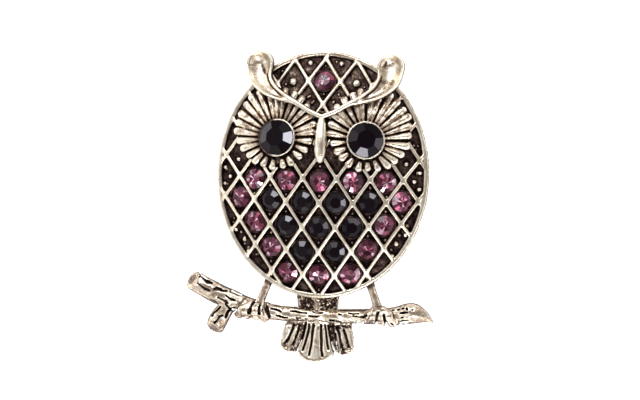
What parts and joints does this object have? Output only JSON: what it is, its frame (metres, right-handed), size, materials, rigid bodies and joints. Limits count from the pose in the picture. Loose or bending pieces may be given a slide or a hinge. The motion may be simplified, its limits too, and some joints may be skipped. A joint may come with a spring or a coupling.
{
  "type": "owl brooch",
  "caption": "Cast owl on a branch, worn as a brooch: domed lattice body set with purple and black stones, rayed eyes, ears, tail, and a pin on its hollow back.",
  "frame": {"origin": "on the surface the brooch lies on, below the middle of its outline", "axes": "+Z out of the owl's front, which faces up as the brooch lies on its back; +Y towards the ears, along its longest extent; +X towards the leaf-shaped end of the branch"},
  "size_m": [0.0386, 0.0484, 0.0091],
  "materials": {
    "antique_gold": "pale antique gold plating, bright on raised metal, with near-black oxidised recesses",
    "purple_glass": "amethyst glass, faceted, foiled on its back",
    "black_glass": "jet black glass, faceted and polished",
    "pin_metal": "plain plated steel wire and strip, semi-bright"
  },
  "bodies": {
    "root": {"owl_casting": "antique_gold", "left_eye_stone": "black_glass", "right_eye_stone": "black_glass", "pin_back": "pin_metal", "purple_stone_a1": "purple_glass", "purple_stone_a2": "purple_glass", "purple_stone_a3": "purple_glass", "purple_stone_a4": "purple_glass", "purple_stone_a5": "purple_glass", "purple_stone_b1": "purple_glass", "black_stone_b2": "black_glass", "black_stone_b3": "black_glass", "black_stone_b4": "black_glass", "black_stone_b5": "black_glass", "purple_stone_b6": "purple_glass", "purple_stone_c1": "purple_glass", "black_stone_c2": "black_glass", "black_stone_c3": "black_glass", "black_stone_c4": "black_glass", "purple_stone_c5": "purple_glass", "purple_stone_d1": "purple_glass", "black_stone_d2": "black_glass", "black_stone_d3": "black_glass", "purple_stone_d4": "purple_glass", "purple_stone_e1": "purple_glass", "purple_stone_e2": "purple_glass", "purple_stone_e3": "purple_glass", "purple_stone_f1": "purple_glass"}
  },
  "joints": []
}
